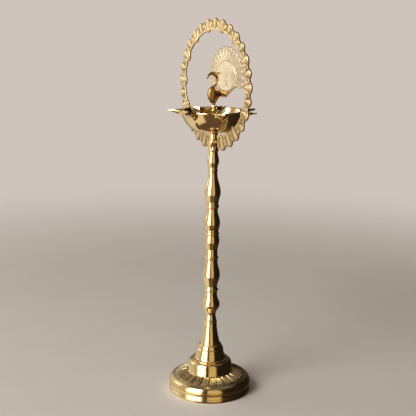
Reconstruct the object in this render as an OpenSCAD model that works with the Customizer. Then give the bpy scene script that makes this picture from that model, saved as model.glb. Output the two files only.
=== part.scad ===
// Standing brass oil lamp (samai): turned stem on a hollow foot, halo ring, seven-spout oil bowl and
// a peacock finial. The pieces screw together on studs, drawn as plain cylinders at the thread's size.
// Frame: origin at the middle of the foot's underside, +Z up, the bird faces -Y, the halo lies in XZ.

/* [Foot] */
// Diameter of the plinth
base_d = 135; // [115:1:165]
// Height of the upright plinth band
plinth_h = 14.5; // [10:0.5:22]
// Height of the fine step near the plinth's lower edge
plinth_step_z = 6; // [3:0.5:9]
// Radius of the rounded moulding above the plinth
moulding_r = 9.5; // [6:0.5:12]
// Distance of the petals' tips inside the plinth's edge
petal_inset = 9; // [7:0.5:14]
// Number of petals
petals = 24; // [16:1:32]
// Thickness of the petal band's raised edge
petal_t = 1.2; // [0.8:0.1:2]
// Diameter of the collar above the petals
collar_d = 72; // [60:1:80]
// Height of the collar's upright side
collar_side_h = 10.5; // [7:0.5:16]
// Height of the collar's rounded shoulder
shoulder_h = 8; // [5:0.5:12]
// Wall of the hollow foot
foot_wall = 3; // [2:0.5:4]

/* [Bell] */
// Diameter of the flange that rests on the foot
flange_d = 59.5; // [52:0.5:60]
// Thickness of the flange
flange_t = 2; // [1.5:0.5:3]
// Diameter of the bell just above the flange
bell_d = 50.6; // [44:0.2:52]
// Height of the bell's lower stage
bell_lower_h = 24.5; // [18:0.5:30]
// Diameter at the top of the lower stage
bell_lower_top_d = 38.8; // [34:0.2:42]
// Diameter of the upper stage where it leaves the step
bell_upper_d = 32.4; // [28:0.2:34]
// Diameter of the bell's throat
throat_d = 20.8; // [17:0.2:24]
// Height of the bell's upper stage
bell_upper_h = 34.5; // [26:0.5:44]
// Diameter of the bead on top of the bell
bell_bead_d = 21.4; // [19:0.2:25]
// Height of the bead and its neck
bell_top_h = 16; // [12:0.5:20]
// Wall of the hollow bell
bell_wall = 3; // [2:0.5:4]

/* [Lower stem] */
// Diameter at the narrow neck where bell and stem meet
neck_joint_d = 16.2; // [14:0.2:18]
// Diameter of the drop-shaped bulb
drop_d = 29.2; // [24:0.2:34]
// Height of the drop-shaped bulb
drop_h = 38.5; // [30:0.5:48]
// Diameter of the lower long baluster
low_baluster_d = 28; // [23:0.2:32]
// Height of the lower long baluster
low_baluster_h = 46.5; // [36:0.5:56]
// Diameter of the lower short bulge
low_bulge_d = 24.6; // [21:0.2:28]
// Height of the lower short bulge
low_bulge_h = 33; // [26:0.5:40]

/* [Upper stem] */
// Diameter where the two stem pieces meet
mid_joint_d = 22.8; // [20:0.2:25]
// Diameter of the upper short bulge
up_bulge_d = 26; // [22:0.2:30]
// Height of the upper short bulge
up_bulge_h = 37.5; // [30:0.5:46]
// Diameter of the upper long baluster
up_baluster_d = 26.4; // [22:0.2:30]
// Height of the upper long baluster
up_baluster_h = 50; // [42:0.5:60]
// Diameter of the slim bulge under the seat
slim_bulge_d = 19.4; // [17:0.2:22]
// Height of the slim bulge
slim_bulge_h = 26.5; // [22:0.5:34]

/* [Bead rings] */
// Diameter of the bead rings on the lower stem
low_ring_d = 23.4; // [21:0.2:26]
// Diameter of the bead ring on the upper stem
up_ring_d = 22.2; // [20:0.2:25]
// Diameter of the small bead under the slim bulge
small_bead_d = 15.4; // [14:0.2:18]
// Height of a bead ring with its grooves
ring_h = 8; // [6:0.5:10]
// Diameter of the necks beside the bead rings
ring_neck_d = 19.6; // [17:0.2:21]
// Diameter of the slim necks at the top of the upper stem
slim_neck_d = 14.8; // [13:0.2:16]

/* [Halo seat] */
// Diameter of the seat's flat top
seat_d = 21.8; // [19:0.2:25]
// Height of the seat
seat_h = 17; // [13:0.5:22]
// Number of flutes round the seat
flutes = 12; // [8:1:18]
// Depth of a flute
flute_depth = 0.5; // [0.2:0.1:0.8]

/* [Halo] */
// Outer diameter over the lobes
halo_d = 208; // [190:1:240]
// Thickness of the halo's casting
halo_t = 4; // [3:0.5:6]
// Width of the halo's opening
opening_w = 176; // [174:1:182]
// Height of the halo's opening
opening_h = 167; // [160:1:174]
// Thickness of the band below the opening
band_bottom = 22.5; // [20:0.5:30]
// Radius of a large lobe
large_lobe_r = 10.2; // [9:0.2:12]
// Radius of a small lobe
small_lobe_r = 8.2; // [7:0.2:9.4]
// Reach of the lobes outside the plain band
lobe_reach = 5; // [3.5:0.5:9]
// Angle from one lobe to the next
lobe_pitch = 12.6; // [12:0.1:12.8]
// Number of lobes on each side of the top one
side_lobes = 13; // [11:1:13]
// Radius of the nubs on the opening's edge
nub_r = 2.4; // [1.5:0.1:3]
// Thickness of the lug
lug_t = 2; // [1.5:0.5:3]
// Radius of the lug round its hole
lug_r = 10.5; // [8:0.5:12]

/* [Bowl neck] */
// Diameter of the neck
neck_d = 14; // [12:0.5:18]
// Height of the neck
neck_h = 13.9; // [10:0.1:20]
// Diameter of the neck's flange under the bowl
neck_flange_d = 20; // [17:0.5:24]
// Thickness of that flange
neck_flange_t = 1.5; // [1:0.5:2.5]

/* [Oil bowl] */
// Diameter of the bowl's rim
rim_d = 110; // [100:1:116]
// Depth of the bowl outside
bowl_depth = 33.6; // [28:0.2:42]
// Wall of the bowl
bowl_wall = 2; // [1.5:0.5:3]
// Diameter of the bowl's flat bottom
bowl_floor_d = 44; // [38:1:50]
// Lean of the wall from upright just under the lip
wall_lean = 22; // [10:1:30]
// Width of the flat lip round the rim
lip_w = 6; // [4:0.5:8]
// Thickness of the lip
lip_t = 2.4; // [1.8:0.2:3]
// Number of wick spouts
spouts = 7; // [5:1:9]
// Radius from the lamp's axis to a spout's tip
spout_reach = 73; // [68:0.5:74]
// Half width of a spout where it leaves the rim
spout_root_half = 11; // [8:0.5:13]
// Half width of a spout at its tip
spout_tip_half = 2.6; // [2.2:0.2:4]
// Depth of a spout's keel below the rim
keel_depth = 8.5; // [7:0.5:12]
// Wall of a spout's channel
spout_wall = 1.3; // [1:0.1:1.8]
// Thickness under a spout's channel
spout_floor_t = 0.9; // [0.7:0.1:1.5]
// Turn of the first spout from the halo's plane
spout_turn = 31.4; // [0:0.1:51]

/* [Finial] */
// Height of the finial's foot above the bowl's floor
foot_h = 41; // [34:0.5:48]
// Diameter of the foot where it stands in the bowl
foot_d = 16; // [12:0.5:20]
// Diameter of the ball on the foot
ball_d = 9.6; // [8:0.2:12]
// Diameter of the flange under the ball
ball_flange_d = 12; // [10:0.5:15]
// Diameter of the bird's leg column
leg_d = 4; // [3:0.2:5]
// Height of the leg column up to the belly
leg_h = 10; // [7:0.5:14]
// Diameter of the pin that sets the bird in its foot
leg_pin_d = 2.6; // [2:0.2:3]
// Width of the bird's body
bird_w = 13; // [10:0.5:16]
// Half width of the tail fan
fan_r = 49; // [42:0.5:54]
// Height of the tail fan from tip to top
fan_h = 80; // [72:0.5:88]
// Thickness of the tail fan
fan_t = 3; // [2:0.5:4]
// Distance of the fan's front face behind the lamp's axis
fan_back = 21; // [18:0.5:26]
// Number of feathers in the fan
feathers = 17; // [13:2:21]
// Diameter of the tail rivet
rivet_d = 3; // [2.4:0.2:4]

/* [Studs] */
// Diameter of the stud between foot and bell
base_stud_d = 12; // [10:0.5:14]
// Diameter of the studs along the stem
stem_stud_d = 8; // [6:0.5:9]
// Diameter of the stud that holds the finial
finial_stud_d = 5; // [4:0.5:6]
// Length of a stem stud
stud_h = 14; // [10:0.5:18]
// Running clearance round a stud
stud_gap = 0.05; // [0.02:0.01:0.1]
// Free length at the end of a stud's socket
socket_spare = 1; // [0.5:0.5:2]

/* [Hidden] */
brass = [0.83, 0.65, 0.27];
pale_brass = [0.86, 0.75, 0.48];
dark_brass = [0.55, 0.36, 0.14];
arc_n = 72;

// Heights of the joints, from the floor up
petal_drop = 7.8;
petal_band_d = base_d - 2 * petal_inset;
band_z = plinth_h + 1.5 + moulding_r + 0.7;
collar_z = band_z + petal_drop;
lug_above = 6.5;
shoulder_z = collar_z + collar_side_h;
bell_z = shoulder_z + shoulder_h;
step_z = bell_z + flange_t + bell_lower_h;
throat_z = step_z + bell_upper_h;
lower_z = throat_z + bell_top_h;
low_ring1_z = lower_z + drop_h;
low_baluster_z = low_ring1_z + ring_h;
low_ring2_z = low_baluster_z + low_baluster_h;
low_bulge_z = low_ring2_z + ring_h;
upper_z = low_bulge_z + low_bulge_h;
mid_bead_h = 7;
up_bulge_z = upper_z + mid_bead_h;
up_ring_z = up_bulge_z + up_bulge_h;
up_baluster_z = up_ring_z + ring_h;
small_bead_z = up_baluster_z + up_baluster_h;
slim_bulge_z = small_bead_z + ring_h;
seat_z = slim_bulge_z + slim_bulge_h;
lug_z = seat_z + seat_h;
neck_z = lug_z + lug_t;
bowl_z = neck_z + neck_h;
rim_z = bowl_z + bowl_depth;
floor_z = bowl_z + bowl_wall;
leg_z = floor_z + foot_h;
belly_z = leg_z + leg_h;
halo_z = lug_z + lug_above - band_bottom + halo_d / 2;
opening_z = halo_z - halo_d / 2 + band_bottom + opening_h / 2;
fan_z = belly_z;
leg_pin_h = 5;
rump_up = 5.5;
rivet_in = 3;
rivet_head_h = 1.2;

// Half-cosine sweep between two stations [radius, height]: leaves and arrives upright
function sweep(a, b, n = 5) = [
    for (i = [0 : n]) [a[0] + (b[0] - a[0]) * (1 - cos(180 * i / n)) / 2, a[1] + (b[1] - a[1]) * i / n]
];
// Chain of such sweeps through all the stations of a turned shape
function turned(s) = [for (k = [0 : len(s) - 2]) each sweep(s[k], s[k + 1])];
// Points of a round arc
function arc(cx, cz, r, from, to, n = 8) = [
    for (i = [0 : n]) let (a = from + (to - from) * i / n) [cx + r * cos(a), cz + r * sin(a)]
];
// Belly between two necks, with its widest place at a share of the height
function belly(z, h, d, neck, at) = [[neck / 2, z], [d / 2, z + h * at], [neck / 2, z + h]];
// Bead ring with a groove on both sides
function bead(z, d, neck) = concat(
    [[neck / 2, z], [neck / 2 + 0.3, z + ring_h * 0.2]],
    arc(d / 2 - ring_h * 0.22, z + ring_h * 0.5, ring_h * 0.22, -80, 80, 6),
    [[neck / 2 + 0.3, z + ring_h * 0.8], [neck / 2, z + ring_h]]
);

module lathe(points) {
    rotate_extrude($fn = arc_n)
        polygon(concat([[0, points[0][1]]], points, [[0, points[len(points) - 1][1]]]));
}
module stud(z, d, h) {
    translate([0, 0, z - 1])
        cylinder(d = d, h = h + 1, $fn = 48);
}
// Socket for a stud that enters at height z
module socket(z, d, h) {
    translate([0, 0, z - 1])
        cylinder(d = d + 2 * stud_gap, h = h + socket_spare + 1, $fn = 48);
}

function foot_outline(inset) = concat(
    [[base_d / 2 - inset, 0], [base_d / 2 - inset, plinth_step_z], [base_d / 2 - 0.8 - inset, plinth_step_z + 0.3],
     [base_d / 2 - 0.8 - inset, plinth_h], [base_d / 2 - 2 - inset, plinth_h + 0.2]],
    arc(base_d / 2 - 0.5 - moulding_r, plinth_h + 1.5, moulding_r - inset, 0, 70),
    [[collar_d / 2 - inset, collar_z - petal_t - inset * 0.4], [collar_d / 2 - inset, shoulder_z]],
    [for (a = [15 : 15 : 90])
        [flange_d / 2 + 0.5 - inset + (collar_d - flange_d - 1) / 2 * cos(a),
         shoulder_z + (shoulder_h - inset) * sin(a)]]
);
module petal_outline() {
    tip_r = PI * petal_band_d / petals / 2 * 0.95;
    circle(d = petal_band_d - 2 * tip_r, $fn = arc_n);
    for (i = [0 : petals - 1])
        rotate(i * 360 / petals)
            translate([petal_band_d / 2 - tip_r, 0])
                circle(r = tip_r, $fn = 24);
}
module petal_band() {
    intersection() {
        rotate_extrude($fn = arc_n)
            polygon([
                [collar_d / 2 - foot_wall, collar_z - foot_wall], [collar_d / 2 - foot_wall, collar_z],
                [collar_d / 2, collar_z], [petal_band_d / 2, band_z],
                [petal_band_d / 2, band_z - petal_t], [petal_band_d / 2 - 7, band_z - petal_t - 0.6]
            ]);
        linear_extrude(collar_z + 1)
            petal_outline();
    }
}
module base_foot() {
    color(brass) {
        difference() {
            union() {
                lathe(foot_outline(0));
                petal_band();
            }
            translate([0, 0, -0.01])
                lathe(foot_outline(foot_wall));
        }
        stud(bell_z, base_stud_d, stud_h);
        translate([0, 0, bell_z - foot_wall - 8])
            cylinder(d = base_stud_d + 8, h = 8.5, $fn = 48);
    }
}

function bell_outline(inset) = concat(
    [[bell_d / 2 - inset, bell_z + flange_t], [bell_lower_top_d / 2 - inset, step_z - 2],
     [bell_lower_top_d / 2 - 1.5 - inset, step_z]],
    [for (i = [0 : 8]) let (t = i / 8)
        [throat_d / 2 - inset + (bell_upper_d - throat_d) / 2 * pow(1 - t, 1.7), step_z + 0.5 + (bell_upper_h - 0.5) * t]]
);
module bell() {
    solid_z = throat_z - stud_h;
    color(brass) difference() {
        union() {
            translate([0, 0, bell_z])
                cylinder(d = flange_d, h = flange_t, $fn = arc_n);
            lathe(bell_outline(0));
            lathe(concat(
                [[throat_d / 2, throat_z - 1], [bell_bead_d / 2 - 1, throat_z]],
                arc(bell_bead_d / 2 - 2, throat_z + 3.5, 2, -70, 70, 6),
                sweep([bell_bead_d / 2 - 1, throat_z + 7], [neck_joint_d / 2, lower_z])
            ));
            stud(lower_z, stem_stud_d, stud_h);
        }
        difference() {
            union() {
                lathe(bell_outline(bell_wall));
                translate([0, 0, bell_z + flange_t - 0.01])
                    mirror([0, 0, 1])
                        cylinder(d = bell_d - 2 * bell_wall, h = flange_t + 1, $fn = arc_n);
            }
            translate([0, 0, solid_z])
                cylinder(d = bell_d, h = stud_h + 1, $fn = arc_n);
            translate([0, 0, bell_z])
                cylinder(d = base_stud_d + 8, h = stud_h + 4, $fn = 48);
        }
        socket(bell_z, base_stud_d, stud_h);
    }
}

module lower_stem() {
    color(brass) difference() {
        union() {
            lathe(concat(
                turned([[neck_joint_d / 2, lower_z], [drop_d / 2, lower_z + drop_h * 0.45],
                    [ring_neck_d / 2, low_ring1_z]]),
                bead(low_ring1_z, low_ring_d, ring_neck_d),
                turned(belly(low_baluster_z, low_baluster_h, low_baluster_d, ring_neck_d, 0.45)),
                bead(low_ring2_z, low_ring_d - 0.8, ring_neck_d),
                turned([[ring_neck_d / 2 - 0.2, low_bulge_z], [ring_neck_d / 2 - 0.2, low_bulge_z + low_bulge_h * 0.25],
                    [low_bulge_d / 2, upper_z - low_bulge_h * 0.25], [mid_joint_d / 2, upper_z]])
            ));
            stud(upper_z, stem_stud_d, stud_h);
        }
        socket(lower_z, stem_stud_d, stud_h);
    }
}

module upper_stem() {
    color(brass) difference() {
        union() {
            lathe(concat(
                arc(mid_joint_d / 2 - 2.2, upper_z + mid_bead_h / 2 - 0.3, mid_bead_h / 2, -60, 60, 6),
                turned([[mid_joint_d / 2 - 0.6, up_bulge_z], [up_bulge_d / 2, up_bulge_z + up_bulge_h * 0.38],
                    [ring_neck_d / 2 - 1, up_ring_z - up_bulge_h * 0.05]]),
                bead(up_ring_z, up_ring_d, ring_neck_d),
                turned([[ring_neck_d / 2, up_baluster_z], [up_baluster_d / 2, up_baluster_z + up_baluster_h * 0.37],
                    [slim_neck_d / 2, small_bead_z]]),
                bead(small_bead_z, small_bead_d, slim_neck_d),
                turned(belly(slim_bulge_z, slim_bulge_h, slim_bulge_d, slim_neck_d, 0.42))
            ));
            stud(seat_z, stem_stud_d, seat_h + lug_t + neck_h * 0.8);
        }
        socket(upper_z, stem_stud_d, stud_h);
    }
}

module halo_seat() {
    color(brass) difference() {
        lathe(concat(
            arc(slim_neck_d / 2 - 0.5, seat_z + 2.5, 2, -80, 80, 6),
            [[slim_neck_d / 2 + 0.4, seat_z + 5.5], [seat_d / 2 - 1.2, lug_z - 4.5],
             [seat_d / 2, lug_z - 1.6], [seat_d / 2, lug_z]]
        ));
        socket(seat_z, stem_stud_d, seat_h);
        for (i = [0 : flutes - 1])
            rotate(i * 360 / flutes)
                translate([seat_d / 2 + 0.4, 0, seat_z + 5.5])
                    cylinder(r = flute_depth + 1, h = seat_h - 9, $fn = 24);
    }
}

// A shape drawn in the XZ plane, with its front face at -Y
module upright(t, y) {
    translate([0, y + t, 0])
        rotate([90, 0, 0])
            linear_extrude(t)
                children();
}
module lobe_ring() {
    circle(d = halo_d - 2 * lobe_reach, $fn = 144);
    for (k = [-side_lobes : side_lobes]) {
        r = (abs(k) % 2 == 1 || abs(k) > side_lobes - 3) ? large_lobe_r : small_lobe_r;
        rotate(90 - k * lobe_pitch)
            translate([halo_d / 2 - r, 0])
                circle(r = r, $fn = 48);
    }
}
module opening() {
    translate([0, opening_z - halo_z])
        scale_circle(opening_w / 2, opening_h / 2);
}
// Oval drawn by points, so that it stays an exact outline
module scale_circle(a, b) {
    polygon([for (t = [0 : 3 : 357]) [a * cos(t), b * sin(t)]]);
}
module halo() {
    color(pale_brass) difference() {
        union() {
            translate([0, 0, halo_z])
                upright(halo_t, -halo_t / 2)
                    difference() {
                        lobe_ring();
                        difference() {
                            opening();
                            for (k = [-7 : 2 : 7])
                                rotate(90 - k * lobe_pitch)
                                    translate([opening_w / 2 - 0.5 - abs(cos(k * lobe_pitch)) * 1.6, 0])
                                        circle(r = nub_r, $fn = 24);
                        }
                        translate([-seat_d / 2 - 1.5, -halo_d])
                            square([seat_d + 3, halo_d - (halo_z - lug_z)]);
                        translate([-neck_flange_d / 2 - 1.5, -(halo_z - lug_z) - 0.01])
                            square([neck_flange_d + 3, band_bottom]);
                    }
            translate([0, 0, lug_z])
                linear_extrude(lug_t) {
                    circle(r = lug_r, $fn = 48);
                    translate([-seat_d / 2 - 5, -halo_t / 2 - 1])
                        square([seat_d + 10, halo_t + 2]);
                }
        }
        translate([0, 0, lug_z - 1])
            cylinder(d = stem_stud_d + 2 * stud_gap, h = lug_t + 2, $fn = 48);
    }
}

module bowl_neck() {
    color(brass) difference() {
        union() {
            lathe([
                [neck_d / 2 + 0.8, neck_z], [neck_d / 2 + 0.8, neck_z + 1], [neck_d / 2, neck_z + 1.6],
                [neck_d / 2, bowl_z - neck_flange_t - 1.5], [neck_flange_d / 2, bowl_z - neck_flange_t],
                [neck_flange_d / 2, bowl_z]
            ]);
            stud(bowl_z, finial_stud_d, bowl_wall + foot_h * 0.35);
        }
        socket(neck_z, stem_stud_d, neck_h * 0.8 - socket_spare);
    }
}

// Bowl wall: from the flat bottom in one round sweep that still leans outwards under the lip
function dish(r, depth, floor_r, z) = let (top = 90 - wall_lean) [
    for (i = [0 : 12]) let (a = top * i / 12)
        [floor_r + (r - floor_r) * sin(a) / sin(top), z + depth * (1 - cos(a)) / (1 - cos(top))]
];
// Hollow-sided taper from the rim to the tip
module spout_plan(grow) {
    root_r = rim_d / 2 - 2;
    side = [
        for (i = [0 : 6]) let (t = i / 6)
            [root_r + (spout_reach + grow - root_r) * t,
             spout_tip_half + (spout_root_half - spout_tip_half) * pow(1 - t, 1.6) + grow]
    ];
    polygon(concat(
        [[root_r - 10, -spout_root_half - grow]], [for (p = side) [p[0], -p[1]]],
        [for (i = [6 : -1 : 0]) side[i]], [[root_r - 10, spout_root_half + grow]]
    ));
}
// Solid under a spout: its plan cut by a keel that rises to the tip
module spout_body(grow) {
    intersection() {
        translate([0, 0, rim_z - keel_depth - 8])
            linear_extrude(keel_depth + 8)
                spout_plan(grow);
        translate([0, 50, 0])
            rotate([90, 0, 0])
                linear_extrude(100)
                    polygon([
                        [rim_d / 2 - 14, rim_z + 1], [rim_d / 2 - 14, rim_z - keel_depth - 4 - grow],
                        [rim_d / 2 - 3, rim_z - keel_depth - grow], [spout_reach - 8, rim_z - 4.6 - grow],
                        [spout_reach + 1, rim_z - 3.2 - grow], [spout_reach + 1, rim_z + 1]
                    ]);
    }
}
module oil_bowl() {
    inner_r = rim_d / 2 - lip_w;
    color(brass) difference() {
        union() {
            lathe(concat(
                dish(inner_r + bowl_wall, bowl_depth - lip_t, bowl_floor_d / 2, bowl_z),
                [[rim_d / 2, rim_z - lip_t + 0.4], [rim_d / 2, rim_z]]
            ));
            for (i = [0 : spouts - 1])
                rotate(spout_turn + i * 360 / spouts)
                    spout_body(0);
        }
        lathe(concat(
            dish(inner_r, bowl_depth - bowl_wall, bowl_floor_d / 2 - bowl_wall / 2, floor_z),
            [[inner_r, rim_z + 1]]
        ));
        for (i = [0 : spouts - 1])
            rotate(spout_turn + i * 360 / spouts)
                translate([0, 0, spout_floor_t])
                    spout_body(-spout_wall);
        translate([0, 0, bowl_z - 1])
            cylinder(d = finial_stud_d + 2 * stud_gap, h = bowl_wall + 2, $fn = 48);
    }
}

module finial_foot() {
    ball_z = leg_z - ball_d / 2;
    color(brass) difference() {
        lathe(concat(
            [[foot_d / 2, floor_z], [foot_d / 2, floor_z + 2]],
            sweep([foot_d / 2 - 1, floor_z + 3], [ball_d / 2 - 1.2, floor_z + foot_h * 0.35]),
            sweep([ball_d / 2 - 1.2, floor_z + foot_h * 0.4], [ball_d / 2 - 0.6, ball_z - 6.5]),
            [[ball_flange_d / 2, ball_z - 5.8], [ball_flange_d / 2, ball_z - 4.6], [ball_d / 2 - 1.6, ball_z - 4]],
            arc(0, ball_z, ball_d / 2, -45, 65, 10),
            [[leg_d / 2 + 0.2, leg_z]]
        ));
        socket(floor_z, finial_stud_d, foot_h * 0.35);
        translate([0, 0, leg_z - leg_pin_h - 0.5])
            cylinder(d = leg_pin_d + 2 * stud_gap, h = leg_pin_h + 1, $fn = 32);
    }
}

// Bird in profile: [forward (-Y), up from the belly line, radius] along body, neck, beak and crest
bird_body = [[3.4, 3, 7.3], [-3, 5.2, 7.5], [-9.5, 7, 6.6], [4 - fan_back, rump_up - 0.2, 5.2]];
bird_neck = [[0.5, 9, 6.2], [-2, 15, 4.5], [-4.2, 20.5, 3.2], [-4.9, 27, 3.1], [-4.4, 32.5, 3.3], [-1, 36.6, 3.4]];
bird_beak = [[-1, 36.6, 3.4], [4, 37.8, 2], [8.2, 36.4, 1.5], [11.2, 33.6, 1.3], [12.4, 30.8, 1]];
bird_crest = [[-1, 37.6, 2.4], [-7, 37.9, 1.5], [-11.8, 37.6, 0.8]];
bird_r = 7.5;
rump_gap = 0.3;
hip_h = 6.2;
module bead_at(p) {
    translate([0, -p[0], belly_z + p[1]])
        scale([bird_w / 2 / bird_r, 1, 1])
            sphere(r = p[2], $fn = 20);
}
module limb(points) {
    for (i = [0 : len(points) - 2])
        hull() {
            bead_at(points[i]);
            bead_at(points[i + 1]);
        }
}
module peacock() {
    color(dark_brass) difference() {
        union() {
            limb(bird_body);
            limb(bird_neck);
            limb(bird_beak);
            limb(bird_crest);
            translate([0, 0, leg_z])
                cylinder(d = leg_d, h = leg_h, $fn = 24);
            translate([0, 0, belly_z - hip_h])
                cylinder(d1 = leg_d, d2 = bird_w * 0.8, h = hip_h, $fn = 24);
            translate([0, 0, leg_z - leg_pin_h])
                cylinder(d = leg_pin_d, h = leg_pin_h + 1, $fn = 24);
        }
        translate([-bird_w, fan_back - rump_gap, fan_z - leg_h])
            cube([2 * bird_w, bird_w, 2 * bird_w + leg_h]);
        translate([0, fan_back, fan_z + rump_up])
            rotate([90, 0, 0])
                cylinder(d = rivet_d + 4 * stud_gap, h = rivet_in + 0.5, $fn = 24);
    }
}

// Fan outline: a round shell above two wing corners, drawn in to the tip at the rump
module fan_outline() {
    corner = 18;
    tip_r = 2.2;
    hub = fan_h - fan_r;
    difference() {
        union() {
            polygon(concat(
                [for (a = [-corner : 4 : 180 + corner]) [fan_r * 0.94 * cos(a), hub + fan_r * 0.94 * sin(a)]],
                [[-fan_r * 0.5, hub - fan_r * 0.31], [-fan_r * 0.2, hub * 0.28], [-3, 0], [3, 0],
                 [fan_r * 0.2, hub * 0.28], [fan_r * 0.5, hub - fan_r * 0.31]]
            ));
            for (i = [0 : feathers - 1])
                let (a = -corner + 4 + i * (172 + 2 * corner) / (feathers - 1))
                    translate([(fan_r * 0.94 - tip_r) * cos(a), hub + (fan_r * 0.94 - tip_r) * sin(a)])
                        circle(r = tip_r + fan_r * 0.06, $fn = 24);
        }
        translate([0, rump_up])
            circle(d = rivet_d + 2 * stud_gap, $fn = 32);
    }
}
module tail_fan() {
    color(pale_brass)
        translate([0, 0, fan_z])
            upright(fan_t, fan_back)
                fan_outline();
}
module tail_rivet() {
    color(brass)
        translate([0, fan_back + fan_t + rivet_head_h, fan_z + rump_up])
            rotate([90, 0, 0]) {
                cylinder(d = rivet_d, h = rivet_head_h + fan_t + rivet_in, $fn = 32);
                cylinder(d = rivet_d * 2, h = rivet_head_h, $fn = 32);
            }
}

base_foot();
bell();
lower_stem();
upper_stem();
halo_seat();
halo();
bowl_neck();
oil_bowl();
finial_foot();
peacock();
tail_fan();
tail_rivet();
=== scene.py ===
import math

import bmesh
import bpy
import numpy as np
from mathutils import Matrix, Vector


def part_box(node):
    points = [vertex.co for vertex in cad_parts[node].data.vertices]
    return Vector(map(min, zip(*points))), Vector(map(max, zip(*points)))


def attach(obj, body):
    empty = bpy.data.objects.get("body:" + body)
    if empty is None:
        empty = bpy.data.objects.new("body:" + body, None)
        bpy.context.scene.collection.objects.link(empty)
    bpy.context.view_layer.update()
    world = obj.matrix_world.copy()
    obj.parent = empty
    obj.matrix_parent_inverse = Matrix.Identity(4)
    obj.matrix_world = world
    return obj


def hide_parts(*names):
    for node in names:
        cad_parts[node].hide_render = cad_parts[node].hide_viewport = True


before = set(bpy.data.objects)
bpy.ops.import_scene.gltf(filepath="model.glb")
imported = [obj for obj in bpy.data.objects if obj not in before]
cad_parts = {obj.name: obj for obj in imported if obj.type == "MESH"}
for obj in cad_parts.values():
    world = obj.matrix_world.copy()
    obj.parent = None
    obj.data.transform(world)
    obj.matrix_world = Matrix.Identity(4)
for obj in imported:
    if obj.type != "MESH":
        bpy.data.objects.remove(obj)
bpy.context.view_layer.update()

# ---------------------------------------------------------------- foot
# The foot is one sand casting in brass, hollow underneath, turned on the lathe and polished.
# It has an upright plinth, a rounded moulding, a sloping band of engraved petals and a collar
# with a threaded stud in the middle that the bell screws onto.
MM = 0.001


def sweep(a, b, steps=12):
    """Half-cosine run between two stations (radius, height): leaves and arrives upright."""
    t = np.linspace(0, 1, steps + 1)
    return [(a[0] + (b[0] - a[0]) * (1 - math.cos(math.pi * k)) / 2, a[1] + (b[1] - a[1]) * k) for k in t]


def turned(*stations):
    """Chain of half-cosine runs through all the stations of a turned shape."""
    points = [stations[0]]
    for a, b in zip(stations, stations[1:]):
        points += sweep(a, b)[1:]
    return points


def arc(centre_r, centre_z, radius, start, end, steps=10):
    """Points of a round arc, angles in degrees from the outward direction."""
    angles = np.radians(np.linspace(start, end, steps + 1))
    return [(centre_r + radius * math.cos(a), centre_z + radius * math.sin(a)) for a in angles]


def ease_corners(profile, size):
    """Rounds the sharp corners of a closed profile, as polishing does."""
    eased, total = [], len(profile)
    for k in range(total):
        before, here, after = (np.array(profile[(k + d) % total], float) for d in (-1, 0, 1))
        into, out = here - before, after - here
        lengths = np.linalg.norm(into), np.linalg.norm(out)
        if min(lengths) < 1e-6:
            continue
        bend = math.degrees(math.acos(np.clip(into @ out / lengths[0] / lengths[1], -1, 1)))
        if bend < 24 or here[0] < 1e-6:
            eased.append(tuple(here))
            continue
        cut = min(size, lengths[0] * 0.45, lengths[1] * 0.45)
        first, last = here - into / lengths[0] * cut, here + out / lengths[1] * cut
        for t in (0, 0.5, 1):
            eased.append(tuple((1 - t) ** 2 * first + 2 * t * (1 - t) * here + t ** 2 * last))
    return eased


def mesh_piece(name, points, faces, relief=None, sharp=35):
    """Makes a closed, outward-facing mesh from points in millimetres."""
    mesh = bpy.data.meshes.new(name)
    mesh.from_pydata([tuple(p) for p in np.asarray(points) * MM], [], faces)
    if relief is not None:
        mesh.attributes.new("relief", "FLOAT", "POINT").data.foreach_set("value", np.asarray(relief, float))
    work = bmesh.new()
    work.from_mesh(mesh)
    bmesh.ops.remove_doubles(work, verts=work.verts, dist=1e-6)
    bmesh.ops.dissolve_degenerate(work, edges=work.edges, dist=1e-7)
    bmesh.ops.recalc_face_normals(work, faces=work.faces)
    work.to_mesh(mesh)
    work.free()
    mesh.polygons.foreach_set("use_smooth", [True] * len(mesh.polygons))
    mesh.set_sharp_from_angle(angle=math.radians(sharp))
    piece = bpy.data.objects.new(name, mesh)
    bpy.context.scene.collection.objects.link(piece)
    return piece


def loop_round(name, rows, angles, relief=None, sharp=35):
    """Skin of a ring-shaped piece: each row holds a radius and a height for every angle round the axis."""
    around, total = len(angles), len(rows)
    cosines, sines = np.cos(angles), np.sin(angles)
    points = np.concatenate([
        np.stack([r * cosines, r * sines, np.broadcast_to(z, around)], axis=1) for r, z in rows
    ])
    faces = []
    for i in range(total):
        here, above = i * around, (i + 1) % total * around
        for k in range(around):
            after = (k + 1) % around
            faces.append((here + k, here + after, above + after, above + k))
    return mesh_piece(name, points, faces, relief, sharp)


def lathe_piece(name, profile, around=176, ease=0.35):
    """Turns a closed profile of (radius, height) points about the lamp's axis."""
    angles = np.linspace(0, 2 * math.pi, around, endpoint=False)
    rows = [(np.full(around, max(r, 0.0)), z) for r, z in ease_corners(profile, ease)]
    return loop_round(name, rows, angles)


def thread(radius, low, high, pitch=1.1):
    """Outside of a threaded stud, from its root up to its rounded end on the axis."""
    turns = int((high - low - 2) / pitch)
    points = []
    for k in range(turns):
        z = low + 0.6 + k * pitch
        points += [(radius - 0.55, z), (radius, z + pitch * 0.35), (radius, z + pitch * 0.5)]
    return points + [(radius - 0.55, high - 1.2), (radius - 1.3, high), (0, high)]


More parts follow.
